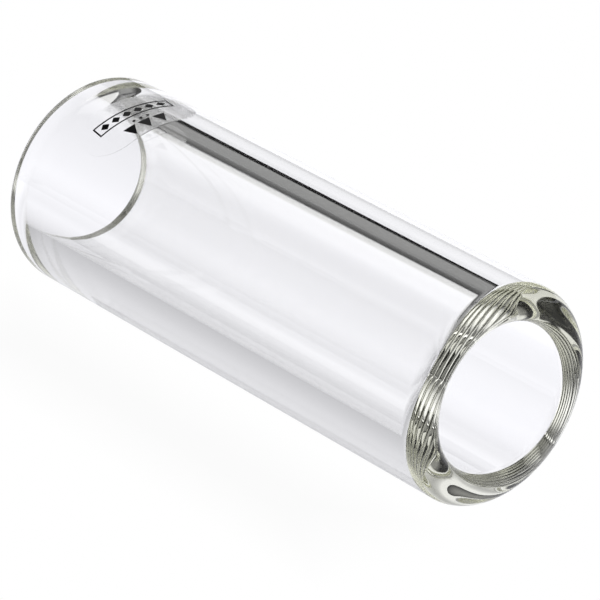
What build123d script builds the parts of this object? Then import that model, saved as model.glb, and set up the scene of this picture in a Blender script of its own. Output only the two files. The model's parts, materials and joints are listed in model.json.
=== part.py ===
"""Glass guitar slide, lying on its side.

A thick-walled borosilicate tube with fire-polished rims, and a clear transfer film near one end that
carries a black printed mark. Millimetres. The origin is the middle of the bore, +X runs along the
bore towards the plain end, and +Z is up.
"""

import os
from math import cos, radians, sin

from build123d import *

# Tube
overall_length = 70.0
outer_diameter = 25.0
bore_diameter = 17.0
rim_crown = 0.35  # how far across the wall the rim's crown lies, from the bore
rim_outer_depth = 2.0  # along the tube, from the crown to the straight outside
rim_inner_depth = 1.2  # along the tube, from the crown to the straight bore

# Printed mark, in black ink on the film: rows run round the tube
ink_thickness = 0.05
bead_count = 6
bead_width = 1.1
bead_height = 1.1
bead_gap = 0.35
frame_line = 0.16
frame_headroom = 0.19  # between the beads and the frame's long sides
frame_end_room = 0.465  # between the row of beads and the frame's short sides
dot_count = 3
dot_diameter = 0.36
dot_gap = 0.54
arrow_count = 3
arrow_width = 1.5
arrow_height = 1.8
arrow_gap = 0.4
frame_to_dots = 0.77  # clear space between one row and the next
dots_to_arrows = 0.42

# Transfer film, with round ends
film_thickness = 0.08
film_side_margin = 2.0  # beyond the frame, at each end of it
film_head_margin = 2.4  # beyond the frame, towards the printed end
film_foot_margin = 0.65  # beyond the arrowheads, towards the plain end
film_middle_distance = 11.2  # from the printed end to the middle of the film
film_angle = -9.0  # degrees from the top, positive towards +Y
film_skew = 8.0  # degrees out of square, as put on by hand

half_length = overall_length / 2
outer_radius = outer_diameter / 2
bore_radius = bore_diameter / 2
crown_radius = bore_radius + rim_crown * (outer_radius - bore_radius)
film_top = outer_radius + film_thickness
ink_top = film_top + ink_thickness

bead_row = bead_count * bead_width + (bead_count - 1) * bead_gap
frame_width = bead_row + 2 * (frame_end_room + frame_line)
frame_height = bead_height + 2 * (frame_headroom + frame_line)
film_width = frame_width + 2 * film_side_margin
film_length = (
    film_head_margin + frame_height + frame_to_dots + dot_diameter
    + dots_to_arrows + arrow_height + film_foot_margin
)

# Middle of each row, measured from the middle of the film towards the printed end
frame_row = film_length / 2 - film_head_margin - frame_height / 2
dot_row = frame_row - frame_height / 2 - frame_to_dots - dot_diameter / 2
arrow_row = dot_row - dot_diameter / 2 - dots_to_arrows - arrow_height / 2

outward = Vector(0, sin(radians(film_angle)), cos(radians(film_angle)))
around = Vector(0, cos(radians(film_angle)), -sin(radians(film_angle)))
# Across this plane x runs round the tube, y towards the printed end and z out of the glass.
label_plane = Plane(
    origin=(film_middle_distance - half_length, 0, 0),
    x_dir=around * cos(radians(film_skew)) + Vector(1, 0, 0) * sin(radians(film_skew)),
    z_dir=outward,
)


def sleeve(inside, outside):
    """A thin sleeve about the tube's axis, between two radii and as long as the tube."""
    with BuildPart() as thin_sleeve:
        with BuildSketch(Plane.YZ):
            Circle(outside)
            Circle(inside, mode=Mode.SUBTRACT)
        extrude(amount=half_length, both=True)
    return thin_sleeve.part


film_sleeve = sleeve(outer_radius, film_top)
ink_sleeve = sleeve(film_top, ink_top)

# Glass tube: the wall's section turned about the bore's axis. Each rim is two quarter ellipses
# that meet at its crown, as glass that has softened in the flame draws itself round.
with BuildPart() as glass_tube:
    with BuildSketch(Plane.XY):
        with BuildLine():
            Line((0, bore_radius), (half_length - rim_inner_depth, bore_radius))
            EllipticalCenterArc(
                (half_length - rim_inner_depth, crown_radius),
                rim_inner_depth,
                crown_radius - bore_radius,
                start_angle=-90,
                arc_size=90,
            )
            EllipticalCenterArc(
                (half_length - rim_outer_depth, crown_radius),
                rim_outer_depth,
                outer_radius - crown_radius,
                start_angle=0,
                arc_size=90,
            )
            Line((half_length - rim_outer_depth, outer_radius), (0, outer_radius))
            mirror(about=Plane.YZ)
        make_face()
    revolve(axis=Axis.X)

# Transfer film: a round-ended patch of clear film, wrapped on the outside of the glass
with BuildPart() as label_film:
    with BuildSketch(label_plane):
        SlotOverall(film_width, film_length)
    extrude(amount=film_top)
    add(film_sleeve, mode=Mode.INTERSECT)

# Printed mark: a framed row of beads, three dots, and arrowheads that point to the plain end
with BuildPart() as printed_mark:
    with BuildSketch(label_plane):
        with Locations((0, frame_row)):
            Rectangle(frame_width, frame_height)
            Rectangle(
                frame_width - 2 * frame_line,
                frame_height - 2 * frame_line,
                mode=Mode.SUBTRACT,
            )
            with GridLocations(bead_width + bead_gap, 0, bead_count, 1):
                Polygon(
                    (-bead_width / 2, 0),
                    (0, -bead_height / 2),
                    (bead_width / 2, 0),
                    (0, bead_height / 2),
                )
        with Locations((0, dot_row)):
            with GridLocations(dot_diameter + dot_gap, 0, dot_count, 1):
                Circle(dot_diameter / 2)
        with Locations((0, arrow_row)):
            with GridLocations(arrow_width + arrow_gap, 0, arrow_count, 1):
                Polygon(
                    (-arrow_width / 2, arrow_height / 2),
                    (0, -arrow_height / 2),
                    (arrow_width / 2, arrow_height / 2),
                )
    extrude(amount=ink_top)
    add(ink_sleeve, mode=Mode.INTERSECT)

os.makedirs("parts", exist_ok=True)
for name, piece in (
    ("glass_tube", glass_tube),
    ("label_film", label_film),
    ("printed_mark", printed_mark),
):
    piece.part.label = name
    export_step(piece.part, f"parts/{name}.step")
    print(name, len(piece.part.solids()), "solids", round(piece.part.volume, 3), "mm3")
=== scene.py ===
import bpy
import bmesh
import json
import random
from math import asin, cos, pi, radians, sin
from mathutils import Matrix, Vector


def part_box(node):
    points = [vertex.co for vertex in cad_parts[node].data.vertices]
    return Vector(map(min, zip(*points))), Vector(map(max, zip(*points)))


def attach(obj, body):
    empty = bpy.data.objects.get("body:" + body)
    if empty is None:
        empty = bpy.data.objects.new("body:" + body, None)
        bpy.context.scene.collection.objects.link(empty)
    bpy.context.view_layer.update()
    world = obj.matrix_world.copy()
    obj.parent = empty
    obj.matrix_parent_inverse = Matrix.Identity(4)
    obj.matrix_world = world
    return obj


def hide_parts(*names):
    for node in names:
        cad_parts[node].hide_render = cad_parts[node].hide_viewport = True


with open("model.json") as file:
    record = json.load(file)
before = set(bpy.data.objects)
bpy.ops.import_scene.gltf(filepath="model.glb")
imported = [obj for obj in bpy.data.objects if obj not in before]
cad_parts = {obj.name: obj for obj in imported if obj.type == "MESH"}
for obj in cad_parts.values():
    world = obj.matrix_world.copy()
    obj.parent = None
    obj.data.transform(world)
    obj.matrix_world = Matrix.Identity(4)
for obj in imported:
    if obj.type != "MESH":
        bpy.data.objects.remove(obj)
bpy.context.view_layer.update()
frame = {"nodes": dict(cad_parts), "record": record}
mm = 0.001

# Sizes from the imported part
mounts = {mount["name"]: mount["dims"] for mount in frame["record"]["mounts"]}
filmLow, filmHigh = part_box("label_film")
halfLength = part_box("glass_tube")[1].x
outerRadius = mounts["barrel"]["r_mm"] * mm
boreRadius = mounts["finger_bore"]["r_mm"] * mm
# How deep the rims are along the tube, from the crown to the straight outside and to the straight bore
outerDepth = halfLength - mounts["barrel"]["length_mm"] * mm / 2
innerDepth = halfLength - mounts["finger_bore"]["length_mm"] * mm / 2
print("frame loaded: tube", round(2 * halfLength / mm, 2), "mm long,",
      round(2 * outerRadius / mm, 2), "mm across")


def toLinear(hexColour):
    values = [int(hexColour[i:i + 2], 16) / 255 for i in (1, 3, 5)]
    linear = [v / 12.92 if v <= 0.04045 else ((v + 0.055) / 1.055) ** 2.4 for v in values]
    return (*linear, 1)


def addNode(tree, kind, settings=None, links=None):
    # settings: the node's own options, or values for its sockets by name or number
    # links: outputs of other nodes for its sockets
    node = tree.nodes.new(kind)
    for key, value in (settings or {}).items():
        if isinstance(key, str) and hasattr(node, key):
            setattr(node, key, value)
        else:
            node.inputs[key].default_value = value
    for key, output in (links or {}).items():
        tree.links.new(output, node.inputs[key])
    return node


def newMaterial(name):
    material = bpy.data.materials.new(name)
    material.use_nodes = True
    material.node_tree.nodes.clear()
    return material, material.node_tree


def newPiece(name, vertices, faces, material):
    mesh = bpy.data.meshes.new(name)
    mesh.from_pydata(vertices, [], faces)
    mesh.materials.append(material)
    piece = bpy.data.objects.new(name, mesh)
    bpy.context.scene.collection.objects.link(piece)
    return piece


# Camera: a long lens, low over the plain end, looking down the bore
cameraSet = {
    "lens": 248.2,
    "distance": 452.5 * mm,
    "elevation": 27.6,
    "azimuth": 49.7,
    "aimRight": 1.411 * mm,
    "aimUp": -1.892 * mm,
    "clip": (0.01, 20),
}


def makeCamera():
    azimuth = radians(cameraSet["azimuth"])
    elevation = radians(cameraSet["elevation"])
    back = Vector((sin(azimuth) * cos(elevation), -cos(azimuth) * cos(elevation), sin(elevation)))
    turn = back.to_track_quat("Z", "Y")
    aim = turn @ Vector((cameraSet["aimRight"], cameraSet["aimUp"], 0))
    data = bpy.data.cameras.new("benchCamera")
    data.lens = cameraSet["lens"]
    data.clip_start, data.clip_end = cameraSet["clip"]
    camera = bpy.data.objects.new("benchCamera", data)
    camera.rotation_mode = "QUATERNION"
    camera.rotation_quaternion = turn
    camera.location = back * cameraSet["distance"] + aim
    bpy.context.scene.collection.objects.link(camera)
    bpy.context.scene.camera = camera


makeCamera()
print("camera placed")


# Glass tube: drawn, cut and fire-polished at both ends
glassSet = {
    "segments": 560,
    "rimSteps": 22,
    "wallSteps": 30,
    # crown: how far across the wall the rim's crown lies, from the bore
    # fullness: 2 is a quarter of an ellipse, more is squarer
    "plainEnd": {"side": 1, "crown": 0.35, "fullness": 2.0, "innerDepth": innerDepth},
    "printedEnd": {"side": -1, "crown": 0.3, "fullness": 2.5, "innerDepth": innerDepth + 0.5 * mm},
    "colour": "#FFFFFF",
    "roughness": 0.0,
    "ior": 1.474,
    "bodyColour": "#DADC7C",
    "bodyDensity": 2.5,  # per metre
    # drawn glass is never quite round: waves that run along the tube, and the slope they give its wall
    "broadWaves": {"count": 5, "cycles": (2, 6), "slope": 0.0016},
    "fineStreaks": {"count": 26, "cycles": (18, 84), "slope": 0.0004},
    "waveShares": (0.5, 1),  # each wave gets a random share of that slope
    "waveFade": 5 * mm,  # the waves die out over this length before each rim
    "outsideShare": 0.4,  # of the bore's waves, on the outside
    "seed": 11,
}


def drawWaves(seed):
    # Each wave: radius change, cycles round the tube, turn along it in radians per metre, and phase
    chance = random.Random(seed)
    mostTurn = pi / (2 * halfLength)
    waves = []
    for kind in ("broadWaves", "fineStreaks"):
        wish = glassSet[kind]
        for i in range(wish["count"]):
            cycles = chance.randint(*wish["cycles"])
            height = wish["slope"] * boreRadius / cycles * chance.uniform(*glassSet["waveShares"])
            waves.append((height, cycles, chance.uniform(-1, 1) * mostTurn, chance.uniform(0, 2 * pi)))
    return waves


def waveFade(x):
    # 1 along the tube, easing to 0 before each rim
    share = min(max((halfLength - outerDepth - abs(x)) / glassSet["waveFade"], 0), 1)
    return share * share * (3 - 2 * share)


def waveAt(waves, angle, x):
    # Radius change, and how it grows with the angle
    fade = waveFade(x)
    height = 0
    around = 0
    for size, cycles, turn, phase in waves:
        height += size * sin(cycles * angle + turn * x + phase)
        around += size * cycles * cos(cycles * angle + turn * x + phase)
    return height * fade, around * fade


def rimQuarter(end, outside):
    # From the straight part to the crown: x, radius and the normal along and across the tube
    shape = glassSet[end]
    side = shape["side"]
    power = shape["fullness"]
    crown = boreRadius + shape["crown"] * (outerRadius - boreRadius)
    depth = outerDepth if outside else shape["innerDepth"]
    height = outerRadius - crown if outside else boreRadius - crown
    points = []
    for i in range(glassSet["rimSteps"] + 1):
        angle = pi / 2 * i / glassSet["rimSteps"]
        out = sin(angle) ** (2 / power)
        up = max(cos(angle), 0) ** (2 / power)
        x = side * (halfLength - depth + depth * out)
        normal = Vector((side * out ** (power - 1) / depth, up ** (power - 1) / height)).normalized()
        points.append((x, crown + height * up, normal.x, normal.y))
    return points


def straightWall(start, end, radius, outward):
    # Between the ends of two rims, without those ends
    steps = glassSet["wallSteps"]
    return [(start + (end - start) * (i / steps), radius, 0, outward) for i in range(1, steps)]


def tubeProfile():
    # Round the wall's section: plain rim, bore, printed rim, outside. Each point is x, radius and normal.
    outPlain = rimQuarter("plainEnd", True)
    inPlain = rimQuarter("plainEnd", False)[:-1][::-1]
    inPrinted = rimQuarter("printedEnd", False)
    outPrinted = rimQuarter("printedEnd", True)[:-1][::-1]
    bore = straightWall(inPlain[-1][0], inPrinted[0][0], boreRadius, -1)
    outside = straightWall(outPrinted[-1][0], outPlain[0][0], outerRadius, 1)
    return outPlain + inPlain + bore + inPrinted + outPrinted + outside


def makeTube(material):
    profile = tubeProfile()
    segments = glassSet["segments"]
    count = len(profile)
    share = glassSet["outsideShare"]
    boreWaves = drawWaves(glassSet["seed"])
    outsideWaves = [(size * share, *rest) for size, *rest in drawWaves(glassSet["seed"] + 1)]
    outsideDrop = sum(wave[0] for wave in outsideWaves)  # keeps the waves within the true outside
    vertices = []
    normals = []
    faces = []
    for section in range(segments):
        angle = 2 * pi * section / segments
        cosine = cos(angle)
        sine = sin(angle)
        for x, radius, along, outward in profile:
            across = 0
            if along == 0:
                height, around = waveAt(boreWaves if outward < 0 else outsideWaves, angle, x)
                if outward > 0:
                    height -= outsideDrop * waveFade(x)
                radius += height
                across = -outward * around / radius
            vertices.append((x, radius * cosine, radius * sine))
            normal = Vector((along, outward * cosine - across * sine, outward * sine + across * cosine))
            normals.append(normal.normalized())
        start = section * count
        nextStart = (section + 1) % segments * count
        for i in range(count):
            j = (i + 1) % count
            faces.append((start + i, nextStart + i, nextStart + j, start + j))
    tube = newPiece("glassTube", vertices, faces, material)
    tube.data.shade_smooth()
    tube.data.normals_split_custom_set_from_vertices(normals)
    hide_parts("glass_tube")
    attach(tube, "root")


def borosilicateGlass():
    # Borosilicate glass, drawn and flame-polished: sharp reflections, and a faint green on a long path
    material, tree = newMaterial("borosilicateGlass")
    shader = addNode(tree, "ShaderNodeBsdfPrincipled", {
        "Base Color": toLinear(glassSet["colour"]),
        "Roughness": glassSet["roughness"],
        "IOR": glassSet["ior"],
        "Transmission Weight": 1.0,
    })
    body = addNode(tree, "ShaderNodeVolumeAbsorption", {
        "Color": toLinear(glassSet["bodyColour"]),
        "Density": glassSet["bodyDensity"],
    })
    addNode(tree, "ShaderNodeOutputMaterial", None,
            {"Surface": shader.outputs[0], "Volume": body.outputs[0]})
    return material


makeTube(borosilicateGlass())
print("glass tube made")


# Transfer film: clear varnish with round ends, put on a little out of square
filmSet = {
    "skew": 8,
    "lift": 0.012 * mm,
    "top": 0.072 * mm,
    "edge": 0.16 * mm,  # how far in the varnish thins towards its edge
    "edgeSteps": 6,
    "rings": 14,
    "endSteps": 40,
    "sideSteps": 24,
    "weld": 0.0005 * mm,  # closes the seam along the middle line
    "colour": "#FFFFFF",
    "roughness": 0.18,
    "ior": 1.06,  # it is bonded to the glass, so it bends light far less than it would alone
    "cover": 0.5,  # the rest of the light goes straight through
}


def filmMeasures():
    # Half the straight part, the end's radius and the middle's angle from the top, from the film's own box
    skew = radians(filmSet["skew"])
    low = asin(filmLow.y / outerRadius)
    high = asin(filmHigh.y / outerRadius)
    halfRound = outerRadius * (high - low) / 2
    halfAlong = (filmHigh.x - filmLow.x) / 2
    straight = (halfRound - halfAlong) / (cos(skew) - sin(skew))
    return straight, halfAlong - straight * sin(skew), (low + high) / 2


def filmOutline(straight):
    # Round the edge: where on the film's middle line each point hangs, and its direction from there
    outline = []
    for side in (1, -1):
        for i in range(filmSet["endSteps"] + 1):
            angle = -pi / 2 + pi * i / filmSet["endSteps"]
            outline.append((side * straight, side * cos(angle), side * sin(angle)))
        for i in range(1, filmSet["sideSteps"]):
            outline.append((side * straight * (1 - 2 * i / filmSet["sideSteps"]), 0, side))
    return outline


def filmRows(endRadius):
    # From the middle line over the top to the edge and back underneath: distance from that line, height
    flat = endRadius - filmSet["edge"]
    reaches = [flat * i / filmSet["rings"] for i in range(filmSet["rings"] + 1)]
    rows = [(reach, filmSet["top"]) for reach in reaches]
    for i in range(1, filmSet["edgeSteps"] + 1):
        angle = pi / 2 * i / filmSet["edgeSteps"]
        drop = (filmSet["top"] - filmSet["lift"]) * (1 - cos(angle))
        rows.append((flat + filmSet["edge"] * sin(angle), filmSet["top"] - drop))
    return rows + [(reach, filmSet["lift"]) for reach in reversed(reaches)]


def makeFilm(material):
    skew = radians(filmSet["skew"])
    straight, endRadius, middle = filmMeasures()
    middleX = (filmLow.x + filmHigh.x) / 2
    outline = filmOutline(straight)
    rows = filmRows(endRadius)
    vertices = []
    for reach, height in rows:
        for anchor, directionU, directionV in outline:
            u = anchor + reach * directionU
            v = reach * directionV
            x = middleX + u * sin(skew) - v * cos(skew)
            angle = middle + (u * cos(skew) + v * sin(skew)) / outerRadius
            radius = outerRadius + height
            vertices.append((x, radius * sin(angle), radius * cos(angle)))
    count = len(outline)
    faces = []
    for row in range(len(rows) - 1):
        start = row * count
        nextStart = start + count
        for i in range(count):
            j = (i + 1) % count
            faces.append((start + i, nextStart + i, nextStart + j, start + j))
    film = newPiece("transferFilm", vertices, faces, material)
    build = bmesh.new()
    build.from_mesh(film.data)
    bmesh.ops.remove_doubles(build, verts=build.verts, dist=filmSet["weld"])
    bmesh.ops.recalc_face_normals(build, faces=build.faces)
    build.to_mesh(film.data)
    build.free()
    film.data.shade_smooth()
    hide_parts("label_film")
    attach(film, "root")


def transferVarnish():
    # Decal varnish, screen-laid and baked: clear, with a satin skin that spreads highlights
    material, tree = newMaterial("transferVarnish")
    shader = addNode(tree, "ShaderNodeBsdfPrincipled", {
        "Base Color": toLinear(filmSet["colour"]),
        "Roughness": filmSet["roughness"],
        "IOR": filmSet["ior"],
        "Transmission Weight": 1.0,
        "Alpha": filmSet["cover"],
    })
    addNode(tree, "ShaderNodeOutputMaterial", None, {"Surface": shader.outputs[0]})
    return material


makeFilm(transferVarnish())
print("transfer film made")


# Printed mark: its shapes are right in the frame, so they only get their ink
inkSet = {
    "colour": "#0D0D0F",
    "thinColour": "#161619",  # where the mesh left less ink
    "roughness": (0.3, 0.46),
    "ior": 1.35,
    "grain": 0.12 * mm,  # mottling of screen-printed ink
}


def screenInk():
    # Black screen ink, baked: dense and satin, mottled a little by the mesh it was pressed through
    material, tree = newMaterial("screenInk")
    place = addNode(tree, "ShaderNodeTexCoord")
    mottle = addNode(tree, "ShaderNodeTexNoise", {"Scale": 1 / inkSet["grain"], "Detail": 2.0},
                     {"Vector": place.outputs["Object"]})
    shade = addNode(tree, "ShaderNodeMix", {
        "data_type": "RGBA",
        6: toLinear(inkSet["colour"]),
        7: toLinear(inkSet["thinColour"]),
    }, {0: mottle.outputs["Fac"]})
    smoothest, roughest = inkSet["roughness"]
    skin = addNode(tree, "ShaderNodeMapRange", {"To Min": smoothest, "To Max": roughest},
                   {"Value": mottle.outputs["Fac"]})
    shader = addNode(tree, "ShaderNodeBsdfPrincipled", {"IOR": inkSet["ior"]},
                     {"Base Color": shade.outputs[2], "Roughness": skin.outputs[0]})
    addNode(tree, "ShaderNodeOutputMaterial", None, {"Surface": shader.outputs[0]})
    return material


def inkTheMark(material):
    for slot in frame["nodes"]["printed_mark"].material_slots:
        slot.material = material


inkTheMark(screenInk())
print("mark inked")


# Stage: an opal table lit from below and a pale studio, darker where the glass looks past the lamps. The
# table's darker patches, the tube's shadow and caustic light on it, and its brightening for light that
# bounces often are painted, and shown only to light in the glass
throughOneWall = 2  # times that light meets the glass's surfaces on its way straight through
throughBothWalls = 4
pathMargin = 0.5  # half a step, to tell whole numbers of steps apart
tableSet = {
    # how far the table reaches from the tube's middle, in metres
    "plainEndReach": 2.0,
    "printedEndReach": 0.75,
    "sideReach": 2.0,
    "tint": "#FAFAFF",
    "seenTint": "#FFFFFF",
    # how brightly the table glows beside the tube to light in the glass: darker in front of it, with the
    # tube's shadow and the bright caustic lines it throws painted in; distance across from the tube's middle
    # in mm, and tone
    "glowWithPaintedShadow": (
        (-80, 0.95), (-40, 0.6), (-26, 0.47), (-14, 0.59), (-10, 0.68), (-8, 0.75), (-5, 0.81), (-2, 0.92),
        (1.5, 1.02), (2.8, 1.04), (4.3, 0.96), (6, 0.97), (8.6, 1.06), (11.6, 1.1), (18, 1.04), (24, 1.01),
        (36, 1.0), (50, 1.1),
    ),
    # painted light: light that has met the glass more often than gainPath sees the table brighter by the
    # gain below
    "gainPath": 5.5,
    "paintedGain": 0.28,
    # light that has met it more often than deepPath is deep light
    "deepPath": 8.5,
    # painted shade: darker patches of the table, seen only by the given kind of light in the glass:
    # x and y from and to, softness of the ends, near side and far side, all in mm, tone, and the light that
    # sees them
    "paintedDarkPatches": {
        "pastPlainEnd": {
            "span": ((38, 3000), (-400, 400)), "soft": (6, 40, 40), "tone": 0.42, "light": "slant",
        },
        "farPastPlainEnd": {
            "span": ((58, 3000), (-400, 400)), "soft": (12, 40, 40), "tone": 0.15, "light": "slant",
        },
        "pastPrintedEnd": {
            "span": ((-3000, -36), (-400, 85)), "soft": (16, 12, 12), "tone": 0.18, "light": "deep",
        },
        "wellBehind": {
            "span": ((-400, 30), (26, 400)), "soft": (20, 8, 8), "tone": 0.04, "light": "bounced",
        },
    },
}
# The soft shadow in front of the tube, laid out as the patches are
shadowSet = {"span": ((-42, 36), (-26, -7)), "soft": (14, 8, 8), "depth": 0.035}
studioSet = {
    "base": 0.01,  # tone where there is no panel
    "horizon": (7, 14),  # what is seen straight through the glass is white up to here, as the backdrop is
    # azimuth and elevation from and to, softness of the sides, foot and top, all in degrees, and tone;
    # azimuth 0 is along the bore
    "panels": {
        "softbox": {"span": ((100, 162), (24.6, 75)), "soft": (8, 1, 1), "tone": 0.98},
        "wallUnderSoftbox": {"span": ((122, 150), (3.6, 23)), "soft": (3, 0.5, 8), "tone": 0.3},
        "cornerWall": {"span": ((148, 180), (0, 25)), "soft": (6, 4, 4), "tone": 0.4},
        "sideWall": {"span": ((60, 122), (4, 30)), "soft": (6, 8, 8), "tone": 0.4},
        "frontWall": {"span": ((-78, 60), (4, 80)), "soft": (12, 10, 10), "tone": 0.42},
        "leftWall": {"span": ((-142, -98), (0, 60)), "soft": (8, 8, 8), "tone": 0.3},
    },
}


def softPatch(tree, place, patch, unit):
    # 1 inside a soft-edged oblong of the place's first two coordinates, 0 outside it; the third isn't used
    (xFrom, xTo), (yFrom, yTo) = patch["span"]
    xSoft, lowSoft, highSoft = patch["soft"]
    low = (xFrom * unit, yFrom * unit, -unit)
    high = (xTo * unit, yTo * unit, unit)
    lowWidth = (xSoft * unit, lowSoft * unit, unit)
    highWidth = (xSoft * unit, highSoft * unit, unit)
    fromLow = addNode(tree, "ShaderNodeVectorMath", {"operation": "SUBTRACT", 1: low}, {0: place})
    toHigh = addNode(tree, "ShaderNodeVectorMath", {"operation": "SUBTRACT", 0: high}, {1: place})
    rise = addNode(tree, "ShaderNodeVectorMath", {"operation": "DIVIDE", 1: lowWidth},
                   {0: fromLow.outputs[0]})
    fall = addNode(tree, "ShaderNodeVectorMath", {"operation": "DIVIDE", 1: highWidth},
                   {0: toHigh.outputs[0]})
    both = addNode(tree, "ShaderNodeVectorMath", {"operation": "MINIMUM"},
                   {0: rise.outputs[0], 1: fall.outputs[0]})
    axes = addNode(tree, "ShaderNodeSeparateXYZ", None, {0: both.outputs[0]})
    least = addNode(tree, "ShaderNodeMath", {"operation": "MINIMUM", "use_clamp": True},
                    {0: axes.outputs[0], 1: axes.outputs[1]})
    return least.outputs[0]


# the table's glow across the tube, with a painted shadow of the tube and painted caustic light
def glowWithPaintedShadowTone(tree, across):
    first = tableSet["glowWithPaintedShadow"][0][0]
    last = tableSet["glowWithPaintedShadow"][-1][0]
    brightest = max(tone for distance, tone in tableSet["glowWithPaintedShadow"])
    share = addNode(tree, "ShaderNodeMapRange", {"From Min": first * mm, "From Max": last * mm},
                    {"Value": across})
    ramp = addNode(tree, "ShaderNodeValToRGB", None, {0: share.outputs[0]})
    stops = ramp.color_ramp.elements
    stops.remove(stops[1])
    for i, (distance, tone) in enumerate(tableSet["glowWithPaintedShadow"]):
        stop = stops.new((distance - first) / (last - first)) if i else stops[0]
        grey = tone / brightest
        stop.color = (grey, grey, grey, 1)
    glowWithPaintedShadow = addNode(tree, "ShaderNodeMath", {"operation": "MULTIPLY", 1: brightest}, {0: ramp.outputs[0]})
    return glowWithPaintedShadow.outputs[0]


def lightKinds(tree, steps):
    # For each kind of light, 1 where it is that kind and 0 elsewhere. Slant light doesn't go straight
    # through, bounced light has met the glass once more than that, and deep light far more often.
    one, both, bounced = (
        addNode(tree, "ShaderNodeMath", {"operation": "COMPARE", 1: count, 2: pathMargin}, {0: steps})
        for count in (throughOneWall, throughBothWalls, throughBothWalls + 1)
    )
    straight = addNode(tree, "ShaderNodeMath", {"operation": "MAXIMUM"},
                       {0: both.outputs[0], 1: one.outputs[0]})
    slant = addNode(tree, "ShaderNodeMath", {"operation": "SUBTRACT", 0: 1.0}, {1: straight.outputs[0]})
    deep = addNode(tree, "ShaderNodeMath", {"operation": "GREATER_THAN", 1: tableSet["deepPath"]},
                   {0: steps})
    return {"slant": slant.outputs[0], "bounced": bounced.outputs[0], "deep": deep.outputs[0]}


def makeTable():
    # Opal glass over lamps: even and white to look at, with a painted soft shadow in front of the tube. To
    # light in the glass it is dimmer at a slant and past the ends of the tube, in painted dark patches, with
    # the tube's shadow and caustic light painted across it
    material, tree = newMaterial("opalTable")
    path = addNode(tree, "ShaderNodeLightPath")
    seen = path.outputs["Is Camera Ray"]
    steps = path.outputs["Ray Depth"]
    place = addNode(tree, "ShaderNodeNewGeometry").outputs["Position"]
    parts = addNode(tree, "ShaderNodeSeparateXYZ", None, {0: place})
    # painted shadow and caustic light of the tube, as light in the glass sees the table
    glowWithPaintedShadow = glowWithPaintedShadowTone(tree, parts.outputs[1])
    # painted light: the table shows itself brighter to light that has bounced often in the glass
    gained = addNode(tree, "ShaderNodeMath", {"operation": "GREATER_THAN", 1: tableSet["gainPath"]},
                     {0: steps})
    paintedGain = addNode(tree, "ShaderNodeMath", {"operation": "MULTIPLY_ADD", 1: tableSet["paintedGain"], 2: 1.0},
                   {0: gained.outputs[0]})
    tone = addNode(tree, "ShaderNodeMath", {"operation": "MULTIPLY"}, {0: glowWithPaintedShadow, 1: paintedGain.outputs[0]})
    kinds = lightKinds(tree, steps)
    # painted shade: the table turns darker in these patches for the given kinds of light in the glass
    for patch in tableSet["paintedDarkPatches"].values():
        paintedDarkMask = addNode(tree, "ShaderNodeMath", {"operation": "MULTIPLY"},
                       {0: softPatch(tree, place, patch, mm), 1: kinds[patch["light"]]})
        tone = addNode(tree, "ShaderNodeMix", {"data_type": "FLOAT", 3: patch["tone"]},
                       {0: paintedDarkMask.outputs[0], 2: tone.outputs[0]})
    shaded = addNode(tree, "ShaderNodeMath", {"operation": "MULTIPLY_ADD", 1: -shadowSet["depth"], 2: 1.0},
                     {0: softPatch(tree, place, shadowSet, mm)})
    strength = addNode(tree, "ShaderNodeMix", {"data_type": "FLOAT"},
                       {0: seen, 2: tone.outputs[0], 3: shaded.outputs[0]})
    tint = addNode(tree, "ShaderNodeMix", {
        "data_type": "RGBA",
        6: toLinear(tableSet["tint"]),
        7: toLinear(tableSet["seenTint"]),
    }, {0: seen})
    lamp = addNode(tree, "ShaderNodeEmission", None,
                   {"Color": tint.outputs[2], "Strength": strength.outputs[0]})
    addNode(tree, "ShaderNodeOutputMaterial", None, {"Surface": lamp.outputs[0]})
    left = -tableSet["printedEndReach"]
    right = tableSet["plainEndReach"]
    side = tableSet["sideReach"]
    corners = [(x, y, -outerRadius) for x, y in ((left, -side), (right, -side), (right, side), (left, side))]
    newPiece("opalTable", corners, [(0, 1, 2, 3)], material)


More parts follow.
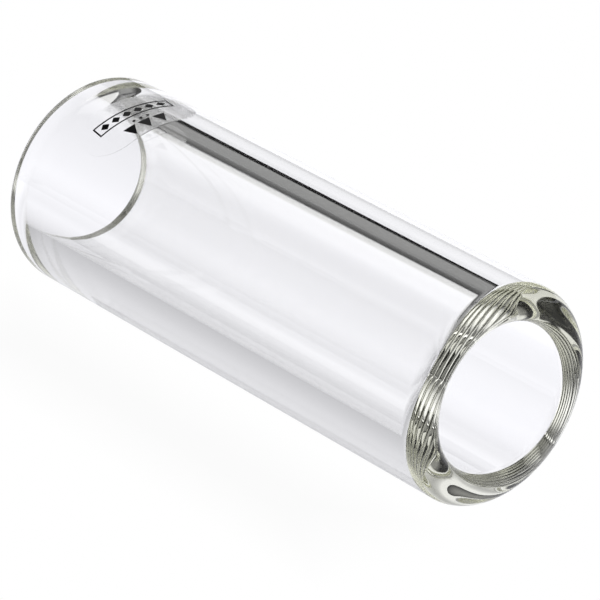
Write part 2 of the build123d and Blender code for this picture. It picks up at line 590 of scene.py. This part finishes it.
def makeStudio():
    world = bpy.data.worlds.new("studio")
    bpy.context.scene.world = world
    world.use_nodes = True
    tree = world.node_tree
    tree.nodes.clear()
    path = addNode(tree, "ShaderNodeLightPath")
    place = addNode(tree, "ShaderNodeTexCoord")
    parts = addNode(tree, "ShaderNodeSeparateXYZ", None, {0: place.outputs["Generated"]})
    azimuth = addNode(tree, "ShaderNodeMath", {"operation": "ARCTAN2"},
                      {0: parts.outputs[1], 1: parts.outputs[0]})
    elevation = addNode(tree, "ShaderNodeMath", {"operation": "ARCSINE"}, {0: parts.outputs[2]})
    bearing = addNode(tree, "ShaderNodeCombineXYZ", None, {0: azimuth.outputs[0], 1: elevation.outputs[0]})
    total = None  # the first panel adds to the base, and each one after it to those before
    for panel in studioSet["panels"].values():
        links = {0: softPatch(tree, bearing.outputs[0], panel, radians(1))}
        if total:
            links[2] = total.outputs[0]
        total = addNode(tree, "ShaderNodeMath",
                        {"operation": "MULTIPLY_ADD", 1: panel["tone"], 2: studioSet["base"]}, links)
    # the sky counts itself as one more step than a surface does
    through = addNode(tree, "ShaderNodeMath",
                      {"operation": "COMPARE", 1: throughBothWalls + 1, 2: pathMargin},
                      {0: path.outputs["Ray Depth"]})
    whiteTo, dimFrom = (radians(angle) for angle in studioSet["horizon"])
    low = addNode(tree, "ShaderNodeMapRange", {
        "From Min": whiteTo,
        "From Max": dimFrom,
        "To Min": 1.0,
        "To Max": 0.0,
    }, {"Value": elevation.outputs[0]})
    clear = addNode(tree, "ShaderNodeMath", {"operation": "MULTIPLY"},
                    {0: through.outputs[0], 1: low.outputs[0]})
    white = addNode(tree, "ShaderNodeMath", {"operation": "MAXIMUM"},
                    {0: path.outputs["Is Camera Ray"], 1: clear.outputs[0]})
    strength = addNode(tree, "ShaderNodeMix", {"data_type": "FLOAT", 3: 1.0},
                       {0: white.outputs[0], 2: total.outputs[0]})
    background = addNode(tree, "ShaderNodeBackground", None, {"Strength": strength.outputs[0]})
    addNode(tree, "ShaderNodeOutputWorld", None, {"Surface": background.outputs[0]})


makeTable()
makeStudio()
print("stage and studio made")


# Light has to bounce in the glass many times before it leaves by a rim
lightSet = {"bounces": 64, "clearBounces": 16}
scene = bpy.context.scene
scene.view_settings.view_transform = "Standard"
scene.cycles.max_bounces = lightSet["bounces"]
scene.cycles.glossy_bounces = lightSet["bounces"]
scene.cycles.transmission_bounces = lightSet["bounces"]
scene.cycles.transparent_max_bounces = lightSet["clearBounces"]
